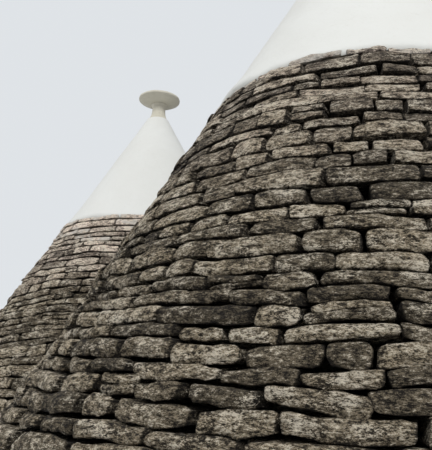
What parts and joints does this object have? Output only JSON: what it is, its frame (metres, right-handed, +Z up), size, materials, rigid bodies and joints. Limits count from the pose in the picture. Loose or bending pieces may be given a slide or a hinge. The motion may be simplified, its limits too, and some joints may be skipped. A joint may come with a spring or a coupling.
{
  "type": "two-cone trullo house",
  "caption": "Round dry stone house with two joined conical slab roofs, plastered tips with dish finials, a doorway, small windows and false vaults inside.",
  "frame": {"origin": "on the ground, under the middle of the wall between the two rooms", "axes": "+Z up, +X from the left cone to the right cone, -Y out through the front doorway"},
  "size_m": [7.605, 4.105, 5.8194],
  "materials": {
    "roof_stone": "grey limestone slabs with dark and pale lichen",
    "vault_stone": "bare limestone rubble, laid dry",
    "tip_plaster": "smooth white lime plaster",
    "finial_plaster": "lime plaster, weathered to a warm grey",
    "wall_limewash": "rough rubble wall under thick limewash",
    "arch_stone": "limewashed voussoirs",
    "dressed_stone": "dressed pale limestone",
    "floor_stone": "worn limestone flags",
    "door_wood": "dark weathered planks",
    "window_wood": "dark weathered wood",
    "window_glass": "clear thin pane"
  },
  "bodies": {
    "root": {"back_pier": "wall_limewash", "door_leaf_left": "door_wood", "door_leaf_right": "door_wood", "door_lintel": "dressed_stone", "door_threshold": "dressed_stone", "front_pier": "wall_limewash", "left_back_wall": "wall_limewash", "left_closing_slab": "vault_stone", "left_eaves_course": "roof_stone", "left_finial_dish": "finial_plaster", "left_finial_neck": "finial_plaster", "left_floor": "floor_stone", "left_front_wall": "wall_limewash", "left_front_window_frame": "window_wood", "left_front_window_pane": "window_glass", "left_front_window_sill": "dressed_stone", "left_lower_courses": "roof_stone", "left_middle_courses": "roof_stone", "left_plaster_tip": "tip_plaster", "left_side_wall": "wall_limewash", "left_tip_core": "vault_stone", "left_upper_courses": "roof_stone", "left_vault": "vault_stone", "passage_arch": "arch_stone", "right_back_wall": "wall_limewash", "right_closing_slab": "vault_stone", "right_eaves_course": "roof_stone", "right_finial_dish": "finial_plaster", "right_finial_neck": "finial_plaster", "right_floor": "floor_stone", "right_front_wall_inner": "wall_limewash", "right_front_wall_outer": "wall_limewash", "right_lower_courses": "roof_stone", "right_middle_courses": "roof_stone", "right_plaster_tip": "tip_plaster", "right_side_wall": "wall_limewash", "right_side_window_frame": "window_wood", "right_side_window_pane": "window_glass", "right_side_window_sill": "dressed_stone", "right_tip_core": "vault_stone", "right_upper_courses": "roof_stone", "right_vault": "vault_stone"}
  },
  "joints": []
}
